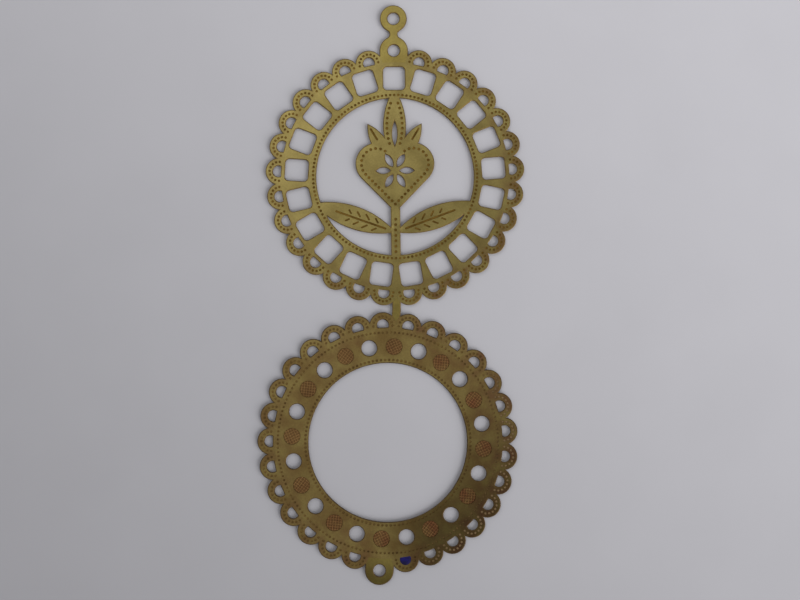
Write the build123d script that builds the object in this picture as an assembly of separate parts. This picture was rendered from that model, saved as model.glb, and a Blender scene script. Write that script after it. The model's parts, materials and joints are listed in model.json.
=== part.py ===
from build123d import *
import os
from math import asin, atan2, cos, pi, radians, sin, sqrt, tan

# Fold-over charm etched from thin brass sheet, laid open with its decorated face up.
# Two lace medallions are joined by a narrow strap. The back one folds behind the front one at the strap's crease,
# and the clasp ring folds over behind both eyes, so that the three eye holes fall on one line.
# Millimetres and degrees. The origin is on the front eye's axis at the sheet's back face.
# +Y runs along the charm towards the clasp, and +Z leaves the decorated face.

# Sheet and folds
sheet_thickness = 0.4
strap_width = 1.7
strap_length = 1.28         # bare strap between the outer edges of the two laces
strap_skew = 4.4            # angle by which the back medallion is bent aside at the strap

# Zones of a medallion, outwards from its opening
opening_radius = 15.8
rim_width = 1.25
band_width = 5.45
lace_base_width = 0.5       # solid ring that the lobes stand on

# Scalloped lace
lobe_radius = 2.7
lobe_rise = 0.76            # outer edge of the band to the circle of lobe centres
lobe_pitch = 5.04           # nearest even spacing of the lobes along that circle
lobe_hole_radius = 1.12
lobe_hole_rise = 0.14       # lobe centre outwards to the hole's centre
lobe_hole_floor = 0.36      # lobe centre inwards to the hole's flat side

# Front window band
window_margin = 0.4         # plain metal between a window and either edge of the band
window_pitch = 5.92
window_corner_radius = 0.8
spoke_width = 0.9           # narrow inner end of the metal between two windows

# Back band of round holes and hatched discs
hole_inset = 2.05           # outer edge of the rim to the circle of holes
hole_pitch = 10.0
hole_radius = 1.53
disc_radius = 1.69
disc_depth = 0.12

# Eyes and clasp
eye_radius = 2.85
eye_hole_radius = 1.2
eye_rise = 2.14             # circle of lobe centres to the eye's axis
clasp_radius = 2.7
neck_length = 0.9           # bare neck between the front eye and the clasp ring
neck_width = 1.6

# Flaming heart inside the front rim, placed from the centre of its medallion
heart_lobe_radius = 4.2
heart_lobe_overlap = 0.5    # how far each heart lobe passes the centre line
heart_rise = 2.6            # medallion centre up to the heart lobes' centres
heart_tip_drop = 7.2        # medallion centre down to the heart's tip
petal_count = 6             # piercings of the rosette in the heart
petal_length = 2.9
petal_width = 1.25
petal_gap = 0.9             # rosette's centre to the foot of a petal
rosette_rise = 1.2          # medallion centre up to the rosette's centre
flame_width = 4.6
flame_reach = 2.0           # how far the middle flame's point would pass the rim's edge
side_flame_length = 9.4
side_flame_width = 3.0
side_flame_lean = 31.0
side_flame_foot = 0.6       # centre line to the foot of a side flame
flame_slit_length = 5.0
flame_slit_width = 1.0
flame_slit_rise = 1.6       # the heart's cleft up to the slit's foot
stem_width = 1.9
leaf_foot = 4.6             # inner edge of the rim up the stem to the leaves' foot
leaf_lean = 20.0            # angle of a leaf's vein above the horizontal
leaf_width = 4.6
leaf_reach = 1.9            # how far the leaf's point would pass the rim's edge

# Blue plug in one piercing of the back lace
plug_lobe = 1               # lobe place counted from the back eye
plug_thickness = 0.32

# Radii and distances that follow from the sizes above
rim_radius = opening_radius + rim_width
band_radius = rim_radius + band_width
lobe_circle = band_radius + lobe_rise
lace_radius = lobe_circle + lobe_radius
eye_reach = lobe_circle + eye_rise
fold_reach = lace_radius + strap_length / 2
clasp_reach = eye_radius + neck_length + clasp_radius
hole_circle = rim_radius + hole_inset
heart_lobe_spread = heart_lobe_radius - heart_lobe_overlap
heart_cleft = heart_rise + sqrt(heart_lobe_radius ** 2 - heart_lobe_spread ** 2)


def odd_count(circle_radius, pitch):
    return 2 * round((2 * pi * circle_radius / pitch - 1) / 2) + 1


lobe_places = list(PolarLocations(lobe_circle, odd_count(lobe_circle, lobe_pitch), 90))
hole_count = round(2 * pi * hole_circle / hole_pitch)

# Each medallion is drawn about its own centre with its eye on +Y and its strap on -Y
front_place = Pos(0, -eye_reach)
back_place = Pos(0, -eye_reach - fold_reach) * Rot(0, 0, 180 - strap_skew) * Pos(0, fold_reach)


def sheet(outline):
    return extrude(outline, sheet_thickness)


def lens(length, width):
    # Pointed oval from the origin up +Y
    right = ThreePointArc((0, 0), (width / 2, length / 2), (0, length))
    left = ThreePointArc((0, length), (-width / 2, length / 2), (0, 0))
    return make_face([right, left])


def lobe_hole():
    # D-shaped piercing, flat side towards the medallion's centre, drawn about the lobe's centre with +X outwards
    reach = lobe_hole_rise + lobe_hole_radius
    arch = Pos(lobe_hole_rise, 0) * Circle(lobe_hole_radius)
    keep = Pos((reach - lobe_hole_floor) / 2, 0) * Rectangle(reach + lobe_hole_floor, 2 * lobe_hole_radius)
    return arch & keep


def lace_outline():
    # The first lobe place belongs to the eye
    lobes = [place * Circle(lobe_radius) for place in lobe_places[1:]]
    return Circle(band_radius + lace_base_width) + lobes - Circle(band_radius)


def lace_border():
    return sheet(lace_outline() - [place * lobe_hole() for place in lobe_places[1:]])


def beaded_rim():
    return sheet(Circle(rim_radius) - Circle(opening_radius))


def window_band():
    inner = rim_radius + window_margin
    height = band_width - 2 * window_margin
    count = odd_count(inner + height / 2, window_pitch)
    width = 2 * inner * tan(pi / count) - spoke_width / cos(pi / count)
    window = RectangleRounded(height, width, window_corner_radius)
    places = PolarLocations(inner + height / 2, count, 90)
    return sheet(Circle(band_radius) - Circle(rim_radius) - [place * window for place in places])


def hole_band():
    # Holes go through, and the discs between them are shallow etched pockets
    step = 360 / hole_count
    holes = [place * Circle(hole_radius) for place in PolarLocations(hole_circle, hole_count, 90 + step / 2)]
    discs = [place * Circle(disc_radius) for place in PolarLocations(hole_circle, hole_count, 90)]
    band = sheet(Circle(band_radius) - Circle(rim_radius) - holes)
    pockets = [Pos(0, 0, sheet_thickness) * extrude(disc, -disc_depth) for disc in discs]
    return band - pockets


def eye_tab():
    # Round tab on a straight foot that fills the empty lobe place
    foot = Pos(0, (band_radius + eye_reach) / 2) * Rectangle(2 * eye_radius, eye_reach - band_radius)
    tab = Pos(0, eye_reach) * Circle(eye_radius) + foot
    return tab - Circle(band_radius) - lace_outline() - Pos(0, eye_reach) * Circle(eye_hole_radius)


def neck():
    # Waist between the front eye at the origin and the clasp ring up +Y, its sides two arcs tangent to both rings
    skew = (eye_radius - clasp_radius) / clasp_reach
    level = (clasp_reach ** 2 + eye_radius ** 2 - clasp_radius ** 2) / (2 * clasp_reach)
    linear = 2 * eye_radius - neck_width - 2 * level * skew
    constant = (neck_width / 2) ** 2 + level ** 2 - eye_radius ** 2
    side_radius = 2 * constant / (linear + sqrt(linear ** 2 - 4 * skew ** 2 * constant))
    side = Vector(neck_width / 2 + side_radius, level + skew * side_radius)
    low = side * (eye_radius / (eye_radius + side_radius))
    clasp_axis = Vector(0, clasp_reach)
    high = clasp_axis + (side - clasp_axis) * (clasp_radius / (clasp_radius + side_radius))
    corners = [(-low.X, low.Y), (low.X, low.Y), (high.X, high.Y), (-high.X, high.Y)]
    sides = [Pos(end * side.X, side.Y) * Circle(side_radius) for end in (-1, 1)]
    return Polygon(*corners, align=None) - sides


def clasp_half(above):
    # Half plane above or below the clasp's fold line, wide enough for either ring
    reach = 2 * clasp_reach
    middle = (clasp_reach + reach) / 2 if above else (clasp_reach - reach) / 2
    return Pos(0, middle) * Rectangle(reach, reach)


def strap_leaf(crease_tilt):
    # Half of the strap, from the valley between two lobes to the crease, which lies askew by crease_tilt
    half = strap_width / 2
    drop = half * tan(radians(crease_tilt))
    corners = [
        (-half, -band_radius),
        (-half, -fold_reach - drop),
        (half, -fold_reach + drop),
        (half, -band_radius),
    ]
    return sheet(Polygon(*corners, align=None) - Circle(band_radius) - lace_outline())


def heart_outline():
    lobe = Vector(heart_lobe_spread, heart_rise)
    tip = Vector(0, -heart_tip_drop)
    slope = lobe - tip
    turn = atan2(slope.X, slope.Y) + asin(heart_lobe_radius / slope.length)
    run = sqrt(slope.length ** 2 - heart_lobe_radius ** 2)
    shoulder = tip + Vector(run * sin(turn), run * cos(turn))
    sides = [(0, tip.Y), (shoulder.X, shoulder.Y), (lobe.X, lobe.Y), (-lobe.X, lobe.Y), (-shoulder.X, shoulder.Y)]
    lobes = [Pos(end * lobe.X, lobe.Y) * Circle(heart_lobe_radius) for end in (-1, 1)]
    return Polygon(*sides, align=None) + lobes


def heart_plate():
    # The heart is pierced by a rosette of pointed petals
    turns = [360 * index / petal_count - 90 for index in range(petal_count)]
    petals = [Rot(0, 0, turn) * Pos(0, petal_gap) * lens(petal_length, petal_width) for turn in turns]
    return sheet(heart_outline() - [Pos(0, rosette_rise) * petal for petal in petals])


def flame_outline():
    # Three tongues from the heart's cleft: the middle one ends on the rim and has a slit
    middle = Pos(0, heart_rise) * lens(opening_radius - heart_rise + flame_reach, flame_width)
    side_places = [Pos(end * side_flame_foot, heart_rise) * Rot(0, 0, -end * side_flame_lean) for end in (-1, 1)]
    sides = [place * lens(side_flame_length, side_flame_width) for place in side_places]
    slit = Pos(0, heart_cleft + flame_slit_rise) * lens(flame_slit_length, flame_slit_width)
    tongues = (middle + sides) & Circle(opening_radius)
    return tongues - heart_outline() - slit


def stem_outline():
    # Post from the heart's tip down to the rim
    top = -heart_tip_drop + stem_width
    post = Pos(0, (top - opening_radius) / 2) * Rectangle(stem_width, top + opening_radius)
    return (post & Circle(opening_radius)) - heart_outline()


def leaf_outline(end):
    # Leaf from the stem out to the rim, on the +X side where end is 1
    foot = -opening_radius + leaf_foot
    rise = sin(radians(leaf_lean))
    vein = -foot * rise + sqrt(opening_radius ** 2 - (foot * cos(radians(leaf_lean))) ** 2)
    blade = Pos(0, foot) * Rot(0, 0, end * (leaf_lean - 90)) * lens(vein + leaf_reach, leaf_width)
    return (blade & Circle(opening_radius)) - stem_outline() - heart_outline()


def blue_plug():
    return extrude(lobe_places[plug_lobe] * lobe_hole(), plug_thickness)


front_eye_outline = eye_tab() + Pos(0, eye_reach) * (neck() & clasp_half(False))
clasp_outline = Pos(0, clasp_reach) * (Circle(clasp_radius) - Circle(eye_hole_radius)) + (neck() & clasp_half(True))

front_nodes = {
    "front_lace_border": lace_border(),
    "front_window_band": window_band(),
    "front_beaded_rim": beaded_rim(),
    "front_eye": sheet(front_eye_outline),
    "strap_front_leaf": strap_leaf(-strap_skew / 2),
    "heart_plate": heart_plate(),
    "flame_crest": sheet(flame_outline()),
    "heart_stem": sheet(stem_outline()),
    "left_leaf": sheet(leaf_outline(-1)),
    "right_leaf": sheet(leaf_outline(1)),
}
back_nodes = {
    "back_lace_border": lace_border(),
    "back_hole_band": hole_band(),
    "back_beaded_rim": beaded_rim(),
    "back_eye": sheet(eye_tab()),
    "strap_back_leaf": strap_leaf(strap_skew / 2),
    "blue_plug": blue_plug(),
}

nodes = {name: front_place * shape for name, shape in front_nodes.items()}
nodes.update({name: back_place * shape for name, shape in back_nodes.items()})
nodes["clasp_ring"] = sheet(clasp_outline)

os.makedirs("parts", exist_ok=True)
for name, shape in nodes.items():
    export_step(shape, f"parts/{name}.step")
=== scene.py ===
import json
import math

import bmesh
import bpy
from mathutils import Euler, Matrix, Vector
from mathutils.bvhtree import BVHTree
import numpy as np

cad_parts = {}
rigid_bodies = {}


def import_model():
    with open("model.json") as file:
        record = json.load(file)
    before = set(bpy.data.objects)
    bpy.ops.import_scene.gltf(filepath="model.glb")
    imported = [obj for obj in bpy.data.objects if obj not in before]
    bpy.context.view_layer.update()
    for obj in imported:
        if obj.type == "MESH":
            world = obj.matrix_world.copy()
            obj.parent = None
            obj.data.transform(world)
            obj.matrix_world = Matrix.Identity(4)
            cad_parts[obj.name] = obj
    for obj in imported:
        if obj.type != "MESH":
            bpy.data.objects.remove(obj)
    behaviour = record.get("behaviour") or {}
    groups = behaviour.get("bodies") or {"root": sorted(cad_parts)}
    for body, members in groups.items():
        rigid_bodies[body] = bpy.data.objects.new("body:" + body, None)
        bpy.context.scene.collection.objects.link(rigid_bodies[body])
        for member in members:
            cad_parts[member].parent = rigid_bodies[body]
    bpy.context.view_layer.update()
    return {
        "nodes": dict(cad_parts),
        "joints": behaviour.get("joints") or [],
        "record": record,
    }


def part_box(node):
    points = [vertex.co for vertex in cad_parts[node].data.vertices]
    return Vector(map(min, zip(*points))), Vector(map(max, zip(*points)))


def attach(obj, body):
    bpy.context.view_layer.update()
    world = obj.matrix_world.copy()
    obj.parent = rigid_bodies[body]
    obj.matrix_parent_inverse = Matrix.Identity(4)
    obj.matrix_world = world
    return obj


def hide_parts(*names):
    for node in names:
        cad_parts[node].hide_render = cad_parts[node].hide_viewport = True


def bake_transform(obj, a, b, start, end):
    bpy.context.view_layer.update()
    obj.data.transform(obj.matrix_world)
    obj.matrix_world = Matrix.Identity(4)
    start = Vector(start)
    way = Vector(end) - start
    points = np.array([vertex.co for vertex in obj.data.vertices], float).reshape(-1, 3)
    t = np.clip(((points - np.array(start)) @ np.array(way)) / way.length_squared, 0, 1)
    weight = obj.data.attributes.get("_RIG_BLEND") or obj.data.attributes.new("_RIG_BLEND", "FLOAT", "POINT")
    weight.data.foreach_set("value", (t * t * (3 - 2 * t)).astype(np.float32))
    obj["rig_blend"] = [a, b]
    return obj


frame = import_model()
print("frame loaded:", len(frame["nodes"]), "nodes")

mm = 0.001  # pieces are drawn in millimetres, then scaled to the frame's metres
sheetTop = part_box("front_lace_border")[1].z / mm
mountPoints = {mount["name"]: Vector(mount["pos_m"]) / mm for mount in frame["record"]["mounts"]}
joints = {joint["name"]: joint for joint in frame["joints"]}


def medallionPlace(rimNode, eyeMount):  # a medallion is drawn about its own centre, with its eye on +Y
    low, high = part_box(rimNode)
    centre = (low + high) / (2 * mm)
    centre.z = 0
    eye = mountPoints[eyeMount] - centre
    return Matrix.Translation(centre) @ Matrix.Rotation(math.atan2(-eye.x, eye.y), 4, "Z")


frontPlace = medallionPlace("front_beaded_rim", "front_eye")
backPlace = medallionPlace("back_beaded_rim", "back_eye")
rimRadius = (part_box("front_beaded_rim")[1].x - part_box("front_beaded_rim")[0].x) / (2 * mm)
bandRadius = (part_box("front_window_band")[1].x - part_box("front_window_band")[0].x) / (2 * mm)


# Shader nodes

def addNode(tree, kind, inputs=None, **settings):
    node = tree.nodes.new(kind)
    for key, value in settings.items():
        setattr(node, key, value)
    for key, value in (inputs or {}).items():
        if isinstance(value, bpy.types.NodeSocket):
            tree.links.new(value, node.inputs[key])
        else:
            node.inputs[key].default_value = value
    return node


def mixColour(tree, share, first, second, mode="MIX"):
    node = addNode(tree, "ShaderNodeMix", {0: share, 6: first, 7: second}, data_type="RGBA", blend_type=mode)
    return node.outputs[2]


def spread(tree, value, fromLow, fromHigh, toLow, toHigh):
    ends = {"Value": value, "From Min": fromLow, "From Max": fromHigh, "To Min": toLow, "To Max": toHigh}
    return addNode(tree, "ShaderNodeMapRange", ends).outputs[0]


def times(tree, first, second):
    return addNode(tree, "ShaderNodeMath", {0: first, 1: second}, operation="MULTIPLY").outputs[0]


def along(tree, offset, direction):  # how far an offset goes in a direction
    ends = {0: offset, 1: direction}
    return addNode(tree, "ShaderNodeVectorMath", ends, operation="DOT_PRODUCT").outputs["Value"]


def towards(tree, offset, direction, limits, low=0.0, high=1.0):  # changes from one distance to another
    return spread(tree, along(tree, offset, direction), *limits, low, high)


def lengthOf(tree, offset):
    return addNode(tree, "ShaderNodeVectorMath", {0: offset}, operation="LENGTH").outputs["Value"]


def fromCentre(tree, place, centre):
    offset = addNode(tree, "ShaderNodeVectorMath", {0: place, 1: centre}, operation="SUBTRACT").outputs[0]
    return offset, lengthOf(tree, offset)


def placeInMillimetres(tree, stretch=(1, 1, 1), turn=0):
    source = addNode(tree, "ShaderNodeTexCoord")
    scale = [part / mm for part in stretch]
    inputs = {"Vector": source.outputs["Object"], "Scale": scale, "Rotation": (0, 0, math.radians(turn))}
    return addNode(tree, "ShaderNodeMapping", inputs).outputs[0]


def noise(tree, place, scale, detail, roughness=0.5):
    inputs = {"Vector": place, "Scale": scale, "Detail": detail, "Roughness": roughness}
    return addNode(tree, "ShaderNodeTexNoise", inputs).outputs[0]


def mottle(tree, place, pattern, low=0.0, high=1.0):  # soft blotches from one value to another
    blotches = noise(tree, place, pattern["scale"], pattern["detail"])
    return spread(tree, blotches, *pattern["limits"], low, high)


def seenRays(tree):  # 1 for what the camera and the metal see, 0 for light on its way
    rays = addNode(tree, "ShaderNodeLightPath").outputs
    ends = {0: rays["Is Camera Ray"], 1: rays["Is Glossy Ray"]}
    return addNode(tree, "ShaderNodeMath", ends, operation="MAXIMUM").outputs[0]


# Camera and light

photoView = {
    "lens": 45, "aim": (0.705, -50.181, 0.4), "distance": 199.75, "turn": (1.398, -0.357, -0.639),
    "nearest": 10,
}
skyLight = {"colour": (255, 255, 255), "strength": 0.4, "walls": 0.85, "wallTop": (0.5, 0.95)}
lamps = [
    {"name": "window_light", "place": (1400, -960, 1120), "size": 1800, "power": 41.6},
    {"name": "ceiling_panel", "place": (-205, 230, 620), "size": 520, "power": 1.1},
]


def linear(colour):  # 0 to 255 as seen on a screen, to the light that a shader takes
    return [((c / 255 + 0.055) / 1.055) ** 2.4 for c in colour] + [1.0]


def addCamera(view):
    data = bpy.data.cameras.new("photo_camera")
    data.lens = view["lens"]
    data.clip_start = view["nearest"] * mm
    camera = bpy.data.objects.new("photo_camera", data)
    camera.rotation_euler = Euler([math.radians(angle) for angle in view["turn"]])
    back = camera.rotation_euler.to_matrix() @ Vector((0, 0, view["distance"]))
    camera.location = (Vector(view["aim"]) + back) * mm
    bpy.context.scene.collection.objects.link(camera)
    bpy.context.scene.camera = camera


def addLamp(lamp, aim):
    data = bpy.data.lights.new(lamp["name"], "AREA")
    data.size = lamp["size"] * mm
    data.energy = lamp["power"]
    light = bpy.data.objects.new(lamp["name"], data)
    light.location = Vector(lamp["place"]) * mm
    light.rotation_euler = (Vector(aim) - Vector(lamp["place"])).to_track_quat("-Z", "Y").to_euler()
    bpy.context.scene.collection.objects.link(light)


def addSky(sky):  # only the camera and the metal see the pale walls round the table
    world = bpy.data.worlds.new("soft_sky")
    world.use_nodes = True
    tree = world.node_tree
    direction = addNode(tree, "ShaderNodeTexCoord").outputs["Generated"]
    height = addNode(tree, "ShaderNodeSeparateXYZ", {0: direction}).outputs["Z"]
    room = spread(tree, height, *sky["wallTop"], sky["walls"], sky["strength"])
    strength = spread(tree, seenRays(tree), 0, 1, sky["strength"], room)
    tree.links.new(strength, tree.nodes["Background"].inputs["Strength"])
    tree.nodes["Background"].inputs["Color"].default_value = linear(sky["colour"])
    bpy.context.scene.world = world


bpy.context.scene.view_settings.view_transform = "Standard"
addCamera(photoView)
addSky(skyLight)
for lamp in lamps:
    addLamp(lamp, photoView["aim"])
print("camera and light set")


# Materials

glancing = (226, 218, 194)  # holds the metals' own colour at a low angle, where they would go grey
fineLimits = (0.3, 0.7)  # most of a fine noise lies between these
stains = {"detail": 3.0, "limits": (0.35, 0.65)}
everywhere = (-60, -50)  # the whole charm lies beyond these


def newFinish(name):
    material = bpy.data.materials.new(name)
    material.use_nodes = True
    return material, material.node_tree, material.node_tree.nodes["Principled BSDF"]


def clouded(tree, place, look):  # a finish's light and dark tones
    clouds = mottle(tree, place, look["clouds"])
    return mixColour(tree, clouds, linear(look["light"]), linear(look["dark"]))


def roughen(tree, shader, height, look):  # one fine pattern sets both the gloss and the relief
    rough = spread(tree, height, *fineLimits, *look["roughness"])
    tree.links.new(rough, shader.inputs["Roughness"])
    inputs = {"Height": height, "Strength": look["bumpStrength"], "Distance": look["bumpDepth"] * mm}
    tree.links.new(addNode(tree, "ShaderNodeBump", inputs).outputs[0], shader.inputs["Normal"])


def brass(name, look, centre):  # olive and brown clouds, redder on the lace, with the sheet's rolled grain
    material, tree, shader = newFinish(name)
    place = placeInMillimetres(tree)
    offset, reach = fromCentre(tree, place, centre)
    colour = clouded(tree, place, look)
    redness = towards(tree, offset, look["redSide"], look["redAcross"], *look["redSpread"])
    redness = times(tree, redness, spread(tree, reach, *look["redReach"], 0.0, 1.0))
    fromAxis = addNode(tree, "ShaderNodeMath", {0: along(tree, offset, (1, 0, 0))}, operation="ABSOLUTE")
    redness = times(tree, redness, spread(tree, fromAxis.outputs[0], *look["redClear"], 0.0, 1.0))
    redness = times(tree, redness, mottle(tree, place, look["patches"], 0.0, look["redShare"]))
    colour = mixColour(tree, redness, colour, linear(look["red"]))
    # painted shade, partly tarnish: the colour darkens towards one side and towards the lower right,
    # standing in for the darker room that the metal reflects there
    darker = towards(tree, offset, look["shadeSide"], look["shadeAcross"])
    lower = towards(tree, offset, look["shadeDown"], look["shadeReach"])
    tarnishAndShade = spread(tree, times(tree, darker, lower), 0.0, 1.0, *look["tarnishAndShade"])
    tarnishAndShade = times(tree, tarnishAndShade, mottle(tree, place, look["specks"], *look["speckShade"]))
    colour = mixColour(tree, 1.0, colour, tarnishAndShade, "MULTIPLY")
    tree.links.new(colour, shader.inputs["Base Color"])
    grainPlace = placeInMillimetres(tree, look["grainStretch"], look["grainTurn"])
    grain = noise(tree, grainPlace, look["grainScale"], look["grainDetail"], look["grainRoughness"])
    roughen(tree, shader, grain, look)
    shader.inputs["Metallic"].default_value = 1.0
    shader.inputs["Specular Tint"].default_value = linear(glancing)
    return material


def etched(name, look, centre=None):  # a cut edge or a mark's floor: dull; some marks get painted shade and a painted glint on one side
    material, tree, shader = newFinish(name)
    place = placeInMillimetres(tree)
    colour = clouded(tree, place, look)
    if "paintedGlint" in look:
        offset, reach = fromCentre(tree, place, centre)
        # painted shade, partly tarnish: the marks darken towards the lower right like the metal round them
        tarnishAndShade = towards(tree, offset, look["shadeSide"], look["shadeAcross"], *look["tarnishAndShade"])
        colour = mixColour(tree, 1.0, colour, tarnishAndShade, "MULTIPLY")
        # painted glint: marks in the lobes on the right side turn lighter, where their walls would catch the
        # window light
        caught = towards(tree, offset, look["glintSide"], look["glintAcross"])
        caught = times(tree, caught, spread(tree, reach, *look["glintReach"], 0.0, 1.0))
        colour = mixColour(tree, caught, colour, linear(look["paintedGlint"]))
    tree.links.new(colour, shader.inputs["Base Color"])
    roughen(tree, shader, noise(tree, place, look["pitScale"], look["pitDetail"]), look)
    shader.inputs["Metallic"].default_value = look["metal"]
    shader.inputs["Specular Tint"].default_value = linear(glancing)
    return material


def resin(name, look):
    material, tree, shader = newFinish(name)
    colour = clouded(tree, placeInMillimetres(tree), look)
    tree.links.new(colour, shader.inputs["Base Color"])
    shader.inputs["Roughness"].default_value = look["roughness"]
    shader.inputs["Specular IOR Level"].default_value = look["gloss"]
    return material


sheetBrass = {
    "specks": {"scale": 3.0, "detail": 2.0, "limits": fineLimits}, "speckShade": (0.90, 1.08),
    "redShare": 0.9, "redAcross": (-20, 20), "redClear": (2, 6),
    "grainStretch": (22, 0.9, 1), "grainScale": 1.0, "grainDetail": 3.0, "grainRoughness": 0.6,
    "bumpStrength": 0.25, "bumpDepth": 0.01,
}
frontTone = {
    **sheetBrass, "light": (141, 127, 76), "dark": (122, 108, 63), "red": (116, 87, 60),
    "clouds": {"scale": 0.22, "detail": 4.0, "limits": (0.36, 0.64)},
    "patches": {"scale": 0.45, "detail": 3.0, "limits": (0.38, 0.68)},
    "redSide": (0.8, -0.6, 0), "redSpread": (0.15, 1.0), "redReach": (20.5, 24.0),
    # a touch darker on the right side: painted shade
    "shadeSide": (0.93, 0.37, 0), "shadeAcross": (-20, 0), "shadeDown": (0, -1, 0),
    "shadeReach": everywhere, "tarnishAndShade": (1.0, 0.96), "grainTurn": 3, "roughness": (0.28, 0.38),
}
backTone = {
    **sheetBrass, "light": (134, 117, 70), "dark": (115, 94, 55), "red": (110, 77, 58),
    "clouds": {"scale": 0.2, "detail": 4.0, "limits": (0.36, 0.64)},
    "patches": {"scale": 0.4, "detail": 3.0, "limits": (0.38, 0.68)},
    "redSide": (0.9, -0.4, 0), "redSpread": (0.4, 1.0), "redReach": (15.0, 25.0),
    # darker towards the lower right: partly tarnish, partly painted shade
    "shadeSide": (0.98, 0.2, 0), "shadeAcross": (-6, 4), "shadeDown": (0.35, -0.94, 0),
    "shadeReach": (-7, 20), "tarnishAndShade": (1.02, 0.42), "grainTurn": -4, "roughness": (0.3, 0.4),
}
frontTab = {**frontTone, "light": (141, 127, 70), "dark": (124, 109, 58), "redShare": 0.1}
backTab = {  # darkens towards its tip: partly tarnish, partly painted shade
    **backTone, "light": (134, 120, 66), "dark": (115, 99, 53), "redShare": 0.1,
    "shadeSide": (0, -1, 0), "shadeAcross": (22.8, 27.5), "shadeReach": everywhere, "tarnishAndShade": (1.0, 0.55),
}
etchedFloor = {
    "pitScale": 9, "pitDetail": 2.0, "bumpStrength": 0.4, "bumpDepth": 0.02,
    "roughness": (0.4, 0.6), "metal": 0.9,
}
frontMark = {
    **etchedFloor, "light": (116, 90, 40), "dark": (86, 64, 24), "clouds": {"scale": 0.6, **stains},
}
backMark = {
    **etchedFloor, "light": (114, 92, 52), "dark": (86, 66, 37), "clouds": {"scale": 0.4, **stains},
    # painted shade towards the lower right, and a painted glint on the marks of the right-hand lobes
    "shadeSide": (0.8, -0.6, 0), "shadeAcross": (0, 24), "tarnishAndShade": (1.0, 0.62),
    "paintedGlint": (119, 99, 72), "glintSide": (0.94, -0.34, 0), "glintAcross": (13, 18),
    "glintReach": (21.5, 23.5),
}
frontEdge = {
    **etchedFloor, "light": (118, 99, 60), "dark": (96, 77, 47), "clouds": {"scale": 0.9, **stains},
    "pitScale": 12, "roughness": (0.55, 0.7), "metal": 1.0,
}
backEdge = {**frontEdge, "light": (90, 73, 49), "dark": (70, 56, 39)}
hatchRidge = {
    **backTone, "light": (143, 113, 71), "dark": (123, 94, 59), "red": (133, 90, 60),
    "redSpread": (0.1, 1.4), "redReach": (0.0, 1.0), "redClear": (0.0, 0.1), "roughness": (0.4, 0.55),
    # the discs darken towards the lower right: partly tarnish, partly painted shade
    "shadeSide": (0.8, -0.6, 0), "shadeAcross": (5, 24), "shadeReach": everywhere, "tarnishAndShade": (0.97, 0.58),
}
hatchFloor = {**hatchRidge, "light": (106, 80, 50), "dark": (88, 65, 40), "red": (95, 62, 41)}
blueLook = {
    "light": (18, 11, 92), "dark": (10, 6, 50), "clouds": {"scale": 0.9, **stains},
    "roughness": 0.35, "gloss": 0.2,
}

frontMetals = [
    brass("front_brass_tarnish_and_painted_shade", frontTone, frontPlace.translation),
    etched("front_etched_mark", frontMark),
    etched("front_cut_edge", frontEdge),
]
backMetals = [
    brass("back_brass_tarnish_and_painted_shade", backTone, backPlace.translation),
    etched("back_etched_mark", backMark, backPlace.translation),
    etched("back_cut_edge", backEdge),
]
frontTabMetals = [brass("front_tab_brass", frontTab, frontPlace.translation), *frontMetals[1:]]
backTabMetals = [brass("back_tab_brass", backTab, backPlace.translation), *backMetals[1:]]
hatchMetals = [
    brass("hatch_ridge_copper", hatchRidge, backPlace.translation),
    brass("hatch_floor_copper", hatchFloor, backPlace.translation),
]
blueResin = resin("blue_resin_fill", blueLook)
print("materials made")


# Plates cut and etched from the sheet

plate = {
    "bevelWidth": 0.15, "bevelDrop": 0.09, "longestEdge": 0.5, "weld": 0.002, "touch": 0.03,
    "sharpAngle": 20,
}
upward = {"level": 0.98, "top": 0.9, "wall": 0.1}  # how far a face's normal points up
faceOf = {"brass": 0, "bead": 1, "groove": 2, "pocket": 3, "edge": 4}  # what a face is as a plate is made
metalOf = [0, 1, 1, 1, 2]  # its metal in the finished plate
marks = {
    "bead": {"slope": 0.06, "depth": 0.1},
    "groove": {"slope": 0.08, "depth": 0.1},
    "pocket": {"slope": 0.04, "depth": 0.12},
}


def readNodes(names):
    bm = bmesh.new()
    for name in names:
        bm.from_mesh(frame["nodes"][name].data)
    bmesh.ops.scale(bm, vec=(1 / mm,) * 3, verts=bm.verts)
    bmesh.ops.remove_doubles(bm, verts=bm.verts, dist=plate["weld"])
    bm.normal_update()
    return bm


def goesThrough(edge, top):  # an edge of the top face whose wall reaches the back of the sheet
    level = all(vert.co.z > top - plate["weld"] for vert in edge.verts)
    tops = [face for face in edge.link_faces if face.normal.z > upward["top"]]
    walls = [face for face in edge.link_faces if abs(face.normal.z) < upward["wall"]]
    reachesBack = any(min(vert.co.z for vert in wall.verts) < plate["weld"] for wall in walls)
    return level and len(tops) == 1 and reachesBack


def cutOutline(names):
    bm = readNodes(names)
    top = max(vert.co.z for vert in bm.verts)
    kept = {edge for edge in bm.edges if goesThrough(edge, top)}
    bmesh.ops.delete(bm, geom=bm.faces[:], context="FACES_ONLY")
    bmesh.ops.delete(bm, geom=[edge for edge in bm.edges if edge not in kept], context="EDGES")
    bmesh.ops.delete(bm, geom=[vert for vert in bm.verts if not vert.link_edges], context="VERTS")
    longEdges = bm.edges[:]
    while longEdges:
        longEdges = [edge for edge in bm.edges if edge.calc_length() > plate["longestEdge"]]
        bmesh.ops.subdivide_edges(bm, edges=longEdges, cuts=1)
    return bm


def everything(bm):
    return bm.verts[:] + bm.edges[:] + bm.faces[:]


def openEdges(bm):
    return [edge for edge in bm.edges if edge.is_boundary]


def drawDown(bm, height):  # walls from the open outline down to a height
    drawn = bmesh.ops.extrude_edge_only(bm, edges=openEdges(bm))["geom"]
    for item in drawn:
        if isinstance(item, bmesh.types.BMVert):
            item.co.z = height
    return [item for item in drawn if isinstance(item, bmesh.types.BMFace)]


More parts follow.
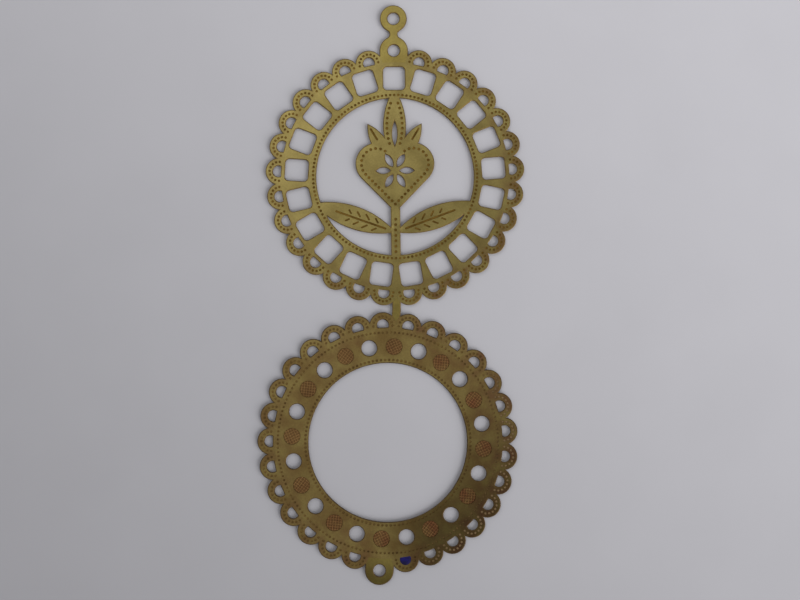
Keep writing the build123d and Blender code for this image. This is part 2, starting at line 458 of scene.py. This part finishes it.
def closePlate(bm):  # fills the outline, draws it down to the back of the sheet and fills that
    bmesh.ops.triangle_fill(bm, use_beauty=True, edges=bm.edges[:], normal=(0, 0, 1))
    topFaces = bm.faces[:]
    walls = drawDown(bm, 0)
    filled = bmesh.ops.triangle_fill(bm, use_beauty=True, edges=openEdges(bm), normal=(0, 0, -1))["geom"]
    backFaces = [item for item in filled if isinstance(item, bmesh.types.BMFace)]
    bmesh.ops.recalc_face_normals(bm, faces=bm.faces[:])
    return topFaces, backFaces, walls


def spot(vert):  # a corner's place, to a thousandth of a millimetre
    return round(vert.co.x, 3), round(vert.co.y, 3)


def freeSpots(bm, names):  # corners of the outline that have an edge with no neighbour against it
    rest = readNodes([name for name in frame["nodes"] if name not in names])
    neighbours = BVHTree.FromBMesh(rest)
    rest.free()
    free = set()
    for edge in bm.edges:
        middle = (edge.verts[0].co + edge.verts[1].co) / 2
        middle.z = sheetTop / 2
        if neighbours.find_nearest(middle)[3] > plate["touch"]:
            free.update(edge.verts)
    for edge in bm.edges[:]:  # a seam is split near its end, so that the bevel runs out in a short step
        for vert in edge.verts[:]:
            atEnd = vert in free and edge.other_vert(vert) not in free
            if atEnd and edge.calc_length() > 2 * plate["bevelWidth"]:
                bmesh.utils.edge_split(edge, vert, plate["bevelWidth"] / edge.calc_length())
    return {spot(vert) for vert in free}


def bevelPlate(bm, topFaces, backFaces, walls, free):  # seams stay flush
    for faces in (topFaces, backFaces):
        bmesh.ops.inset_region(bm, faces=faces, use_even_offset=True, thickness=plate["bevelWidth"])
    for vert in {vert for wall in walls for vert in wall.verts}:
        if spot(vert) in free:
            vert.co.z += plate["bevelDrop"] if vert.co.z < sheetTop / 2 else -plate["bevelDrop"]
    bm.normal_update()
    for face in bm.faces:
        if face.material_index == faceOf["brass"] and abs(face.normal.z) < upward["level"]:
            face.material_index = faceOf["edge"]


def sinkMarks(bm):
    for kind, mark in marks.items():
        faces = [face for face in bm.faces if face.material_index == faceOf[kind]]
        bmesh.ops.inset_individual(
            bm, faces=faces, use_even_offset=True, thickness=mark["slope"], depth=-mark["depth"])


def etchPlate(names, drawMarks=None, place=None):
    bm = cutOutline(names)
    free = freeSpots(bm, names)
    if drawMarks:
        drawMarks(bm, place @ Matrix.Translation((0, 0, sheetTop)))
    bevelPlate(bm, *closePlate(bm), free)
    sinkMarks(bm)
    for face in bm.faces:
        face.material_index = metalOf[face.material_index]
    return bm


def finishPiece(name, bm, metals, nodes):
    bmesh.ops.scale(bm, vec=(mm,) * 3, verts=bm.verts)
    mesh = bpy.data.meshes.new(name)
    bm.to_mesh(mesh)
    bm.free()
    for attribute in [item for item in mesh.attributes if item.name == "custom_normal"]:
        mesh.attributes.remove(attribute)  # the CAD mesh's own normals
    for metal in metals:
        mesh.materials.append(metal)
    mesh.shade_smooth()
    mesh.set_sharp_from_angle(angle=math.radians(plate["sharpAngle"]))
    piece = bpy.data.objects.new(name, mesh)
    bpy.context.scene.collection.objects.link(piece)
    if nodes:
        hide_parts(*nodes)
    return piece


# Marks that are etched into a plate, drawn in its medallion's own frame

def dot(bm, kind, place, x, y, diameter, sides=10):
    matrix = place @ Matrix.Translation((x, y, 0))
    made = bmesh.ops.create_circle(
        bm, cap_ends=True, radius=diameter / 2, segments=sides, matrix=matrix)["verts"]
    made[0].link_faces[0].material_index = faceOf[kind]


def dotArc(bm, place, centre, radius, start, end, count, diameter):
    for index in range(count):
        angle = math.radians(start + (end - start) * index / max(count - 1, 1))
        x = centre[0] + radius * math.cos(angle)
        y = centre[1] + radius * math.sin(angle)
        dot(bm, "bead", place, x, y, diameter)


def dotRing(bm, place, radius, count, diameter):
    dotArc(bm, place, (0, 0), radius, 90, 450 - 360 / count, count, diameter)


def dotLine(bm, place, start, end, count, diameter):
    for index in range(count):
        point = Vector(start).lerp(Vector(end), index / max(count - 1, 1))
        dot(bm, "bead", place, point.x, point.y, diameter)


def groove(bm, place, start, end, width, sides=12):  # a circle pulled out to a slot with round ends
    run = Vector(end) - Vector(start)
    turn = Matrix.Rotation(math.atan2(run.y, run.x), 4, "Z")
    made = bmesh.ops.create_circle(bm, cap_ends=True, radius=width / 2, segments=sides)["verts"]
    made[0].link_faces[0].material_index = faceOf["groove"]
    bmesh.ops.rotate(bm, verts=made, cent=(0, 0, 0), matrix=Matrix.Rotation(math.pi / sides, 3, "Z"))
    bmesh.ops.translate(bm, verts=[vert for vert in made if vert.co.x > 0], vec=(run.length, 0, 0))
    bmesh.ops.transform(bm, verts=made, matrix=place @ Matrix.Translation((*start, 0)) @ turn)


laceBeads = {
    "lobes": 29, "circle": bandRadius + 0.76, "count": 9, "reach": 1.9, "sweep": 184, "diameter": 0.5,
}
rimBeads = {"circle": rimRadius - 0.63, "count": 126, "diameter": 0.52}
bandBeads = {"circle": bandRadius - 0.6, "count": 168, "diameter": 0.46}
discPockets = {"circle": rimRadius + 2.05, "count": 12, "diameter": 3.38, "sides": 32}


def markLace(bm, place):  # an arch of beads in every lobe, and none in the eye's place
    step = 360 / laceBeads["lobes"]
    for lobe in range(1, laceBeads["lobes"]):
        turned = place @ Matrix.Rotation(math.radians(90 + lobe * step), 4, "Z")
        centre = (laceBeads["circle"], 0)
        half = laceBeads["sweep"] / 2
        count = laceBeads["count"]
        dotArc(bm, turned, centre, laceBeads["reach"], -half, half, count, laceBeads["diameter"])


def markRim(bm, place):
    dotRing(bm, place, rimBeads["circle"], rimBeads["count"], rimBeads["diameter"])


def markHoleBand(bm, place):
    dotRing(bm, place, bandBeads["circle"], bandBeads["count"], bandBeads["diameter"])
    for index in range(discPockets["count"]):
        turned = place @ Matrix.Rotation(2 * math.pi * index / discPockets["count"], 4, "Z")
        dot(bm, "pocket", turned, 0, discPockets["circle"], discPockets["diameter"], discPockets["sides"])


heart = {
    "lobeX": 3.7, "lobeY": 2.6, "lobeRadius": 4.2, "tipY": -7.2, "inset": 1.15, "tipInset": 1.6445,
    "lobeStart": 125, "arcDots": 10, "sideDots": 9, "diameter": 0.6,
}
stem = {"top": -8.6, "bottom": -15.1, "dots": 7, "diameter": 0.6}
leaf = {
    "footY": -11.2, "lean": 20, "vein": (2.2, 12.6), "veinWidth": 0.42,
    "ribs": (4.0, 5.9, 7.8, 9.7), "ribLength": (0.9, 1.1, 1.0, 0.7), "ribTurn": 42, "ribGap": 0.62,
    "ribWidth": 0.36,
}
flame = {
    "edgeX": -11.41, "edgeY": 10.2, "edgeRadius": 12.96, "sweep": (-16, 20.5), "dots": 9, "diameter": 0.6,
    "sideFoot": (0.6, 2.6), "sideLean": 31, "sideGroove": (5.7, 8.1), "sideWidth": 0.42,
}


def markHeart(bm, place):  # dots along both lobes and down both sides to the tip
    tip = Vector((0, heart["tipY"] + heart["tipInset"]))
    lobe = Vector((heart["lobeX"], heart["lobeY"]))
    radius = heart["lobeRadius"] - heart["inset"]
    slope = lobe - tip
    turn = math.degrees(math.atan2(slope.x, slope.y) + math.asin(radius / slope.length))
    for side in (1, -1):
        half = place @ Matrix.Diagonal((side, 1, 1, 1))
        dotArc(bm, half, lobe, radius, heart["lobeStart"], -turn, heart["arcDots"], heart["diameter"])
        shoulder = lobe + radius * Vector((math.cos(math.radians(turn)), -math.sin(math.radians(turn))))
        lowest = shoulder.lerp(tip, (heart["sideDots"] - 1) / heart["sideDots"])
        first = shoulder.lerp(tip, 1 / heart["sideDots"])
        dotLine(bm, half, first, lowest, heart["sideDots"] - 1, heart["diameter"])
    dot(bm, "bead", place, tip.x, tip.y, heart["diameter"])


def markStem(bm, place):
    dotLine(bm, place, (0, stem["top"]), (0, stem["bottom"]), stem["dots"], stem["diameter"])


def markLeaf(side):  # a vein with ribs on both its sides
    def draw(bm, place):
        vein = place @ Matrix.Diagonal((side, 1, 1, 1)) @ Matrix.Translation((0, leaf["footY"], 0))
        vein = vein @ Matrix.Rotation(math.radians(leaf["lean"]), 4, "Z")
        groove(bm, vein, (leaf["vein"][0], 0), (leaf["vein"][1], 0), leaf["veinWidth"])
        rib = Vector((math.cos(math.radians(leaf["ribTurn"])), math.sin(math.radians(leaf["ribTurn"]))))
        for foot, length in zip(leaf["ribs"], leaf["ribLength"]):
            for end in (1, -1):
                start = Vector((foot, end * leaf["ribGap"]))
                groove(bm, vein, start, start + length * Vector((rib.x, end * rib.y)), leaf["ribWidth"])
    return draw


def markFlames(bm, place):
    for side in (1, -1):
        half = place @ Matrix.Diagonal((side, 1, 1, 1))
        centre = (flame["edgeX"], flame["edgeY"])
        dotArc(bm, half, centre, flame["edgeRadius"], *flame["sweep"], flame["dots"], flame["diameter"])
        tongue = half @ Matrix.Translation((*flame["sideFoot"], 0))
        tongue = tongue @ Matrix.Rotation(math.radians(90 - flame["sideLean"]), 4, "Z")
        groove(bm, tongue, (flame["sideGroove"][0], 0), (flame["sideGroove"][1], 0), flame["sideWidth"])


frontPlates = [
    ("etched_front_lace", "front_lace_border", markLace),
    ("etched_window_band", "front_window_band", None),
    ("etched_front_rim", "front_beaded_rim", markRim),
    ("etched_heart", "heart_plate", markHeart),
    ("etched_flames", "flame_crest", markFlames),
    ("etched_stem", "heart_stem", markStem),
    ("etched_left_leaf", "left_leaf", markLeaf(-1)),
    ("etched_right_leaf", "right_leaf", markLeaf(1)),
]
backPlates = [
    ("etched_back_lace", "back_lace_border", markLace),
    ("etched_hole_band", "back_hole_band", markHoleBand),
    ("etched_back_rim", "back_beaded_rim", markRim),
    ("etched_back_eye", "back_eye", None),
]
for name, node, drawMarks in frontPlates:
    piece = finishPiece(name, etchPlate([node], drawMarks, frontPlace), frontMetals, [node])
    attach(piece, "front_medallion")
print("front plates etched:", len(frontPlates))
for name, node, drawMarks in backPlates:
    metals = backTabMetals if node == "back_eye" else backMetals
    piece = finishPiece(name, etchPlate([node], drawMarks, backPlace), metals, [node])
    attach(piece, "back_medallion")
print("back plates etched:", len(backPlates))


# Strap and clasp link, the two strips of sheet that bend

strap = {
    "nodes": ["strap_front_leaf", "strap_back_leaf"], "childSide": (0, -1, 0), "reach": 0.45, "loops": 14,
}
claspLink = {"nodes": ["front_eye", "clasp_ring"], "childSide": (0, 1, 0), "reach": 0.48, "loops": 14}


def bendingStrip(name, strip, joint):
    bm = etchPlate(strip["nodes"])
    middle = Vector(joint["pos_m"]) / mm
    middle.z = 0
    across = Vector((0, 0, 1)).cross(Vector(joint["axis"]))  # from the parent's side to the child's
    if across.dot(Vector(strip["childSide"])) < 0:
        across.negate()
    for loop in range(strip["loops"] + 1):
        point = middle + across * strip["reach"] * (2 * loop / strip["loops"] - 1)
        bmesh.ops.bisect_plane(bm, geom=everything(bm), plane_co=point, plane_no=across)
    piece = finishPiece(name, bm, frontTabMetals, strip["nodes"])
    start = (middle - across * strip["reach"]) * mm
    end = (middle + across * strip["reach"]) * mm
    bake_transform(piece, joint["parent"], joint["child"], start=start, end=end)


bendingStrip("strap_bend", strap, joints["back_fold"])
bendingStrip("clasp_link", claspLink, joints["clasp_fold"])
print("bending strips made")


# Hatched discs in the pockets of the back band

hatch = {
    "pitch": 0.52, "turn": 28, "radius": 1.6, "sides": 24, "ridge": 0.13, "depth": 0.06,
    "top": 0.37, "bottom": 0.27,
}
ridgeFace, floorFace = 0, 1  # their places in hatchMetals


def hatchedDiscs():
    bm = bmesh.new()
    cells = math.ceil(2 * hatch["radius"] / hatch["pitch"]) + 2
    bmesh.ops.create_grid(bm, x_segments=cells, y_segments=cells, size=cells * hatch["pitch"] / 2)
    floors = bm.faces[:]
    for face in floors:
        face.material_index = floorFace
    slopes = bmesh.ops.inset_individual(bm, faces=floors, thickness=hatch["ridge"] / 2, depth=0)["faces"]
    for face in slopes:
        face.material_index = ridgeFace
    bmesh.ops.inset_individual(bm, faces=floors, thickness=hatch["ridge"] / 2, depth=-hatch["depth"])
    bmesh.ops.rotate(bm, verts=bm.verts, matrix=Matrix.Rotation(math.radians(hatch["turn"]), 3, "Z"))
    for side in range(hatch["sides"]):
        angle = 2 * math.pi * side / hatch["sides"]
        out = Vector((math.cos(angle), math.sin(angle), 0))
        bmesh.ops.bisect_plane(
            bm, geom=everything(bm), plane_co=out * hatch["radius"], plane_no=out, clear_outer=True)
    bmesh.ops.translate(bm, verts=bm.verts, vec=(0, discPockets["circle"], hatch["top"]))
    drawDown(bm, hatch["bottom"])
    bmesh.ops.triangle_fill(bm, edges=openEdges(bm), normal=(0, 0, -1))
    bmesh.ops.recalc_face_normals(bm, faces=bm.faces[:])
    last = discPockets["count"] - 1
    bmesh.ops.spin(
        bm, geom=everything(bm), cent=(0, 0, 0), axis=(0, 0, 1), steps=last,
        angle=2 * math.pi * last / discPockets["count"], use_duplicate=True)
    bmesh.ops.transform(bm, verts=bm.verts, matrix=backPlace)
    return bm


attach(finishPiece("hatched_discs", hatchedDiscs(), hatchMetals, []), "back_medallion")
print("hatched discs made")


# Blue fill in one piercing of the back lace

blueFill = {"rings": ((0.9, 0.02), (0.78, 0.018), (0.6, 0.01), (0.4, 0.004))}  # shrink and rise of the rings


def domedFill():
    bm = cutOutline(["blue_plug"])
    bmesh.ops.contextual_create(bm, geom=bm.edges[:])
    top = bm.faces[0]
    drawDown(bm, 0)
    bmesh.ops.contextual_create(bm, geom=openEdges(bm))
    bmesh.ops.recalc_face_normals(bm, faces=bm.faces[:])
    for shrink, rise in blueFill["rings"]:
        top = bmesh.ops.extrude_discrete_faces(bm, faces=[top])["faces"][0]
        middle = top.calc_center_median()
        bmesh.ops.scale(bm, vec=(shrink, shrink, 1), space=Matrix.Translation(-middle), verts=top.verts[:])
        bmesh.ops.translate(bm, vec=(0, 0, rise), verts=top.verts[:])
    return bm


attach(finishPiece("blue_drop", domedFill(), [blueResin], ["blue_plug"]), "back_medallion")
print("blue fill made")


# Floor

paper = {
    "gap": 0.4, "size": 6000, "colour": (176, 175, 180), "fade": (200, 3000), "gloss": 0.0,
    # painted light: the paper gets lighter towards the upper right
    "paintedLightSide": (0.69, 0.72, 0), "paintedLightAcross": (-150, 150), "paintedLightTone": (0.66, 1.315),
    "fibre": {"scale": 0.05, "detail": 4.0, "limits": fineLimits}, "fibreShade": (0.985, 1.015),
}


def keepUnder(floor, name, body, point):  # the paper stays below a point of a body, also when folded
    marker = bpy.data.objects.new(name, None)
    marker.location = point
    bpy.context.scene.collection.objects.link(marker)
    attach(marker, body)
    limit = floor.constraints.new("FLOOR")
    limit.target = marker
    limit.floor_location = "FLOOR_NEGATIVE_Z"
    limit.offset = -paper["gap"] * mm


def addFloor():  # painted light: lighter to the upper right; far away, the paper runs into the pale walls
    material, tree, shader = newFinish("pale_paper")
    place = placeInMillimetres(tree)
    paintedLightTone = towards(tree, place, paper["paintedLightSide"], paper["paintedLightAcross"], *paper["paintedLightTone"])
    paintedLightTone.node.interpolation_type = "SMOOTHSTEP"
    paintedLightTone = times(tree, paintedLightTone, mottle(tree, place, paper["fibre"], *paper["fibreShade"]))
    reach = lengthOf(tree, place)
    near = addNode(tree, "ShaderNodeMath", {0: 1.0, 1: reach}, operation="DIVIDE").outputs[0]
    far = spread(tree, near, *[1 / distance for distance in paper["fade"]], 0.0, 1.0)
    far = times(tree, far, seenRays(tree))
    colour = mixColour(tree, 1.0, linear(paper["colour"]), paintedLightTone, "MULTIPLY")
    colour = mixColour(tree, far, colour, linear((0, 0, 0)))
    tree.links.new(colour, shader.inputs["Base Color"])
    tree.links.new(times(tree, far, skyLight["walls"]), shader.inputs["Emission Strength"])
    shader.inputs["Emission Color"].default_value = linear(skyLight["colour"])
    shader.inputs["Specular IOR Level"].default_value = paper["gloss"]
    bm = bmesh.new()
    bmesh.ops.create_grid(bm, x_segments=1, y_segments=1, size=paper["size"] * mm / 2)
    mesh = bpy.data.meshes.new("paper_floor")
    bm.to_mesh(mesh)
    bm.free()
    mesh.materials.append(material)
    floor = bpy.data.objects.new("paper_floor", mesh)
    floor.location = (0, photoView["aim"][1] * mm, -paper["gap"] * mm)
    bpy.context.scene.collection.objects.link(floor)
    keepUnder(floor, "back_top_marker", "back_medallion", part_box("back_hole_band")[1])
    keepUnder(floor, "clasp_top_marker", "clasp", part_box("clasp_ring")[1])


addFloor()
print("floor laid")
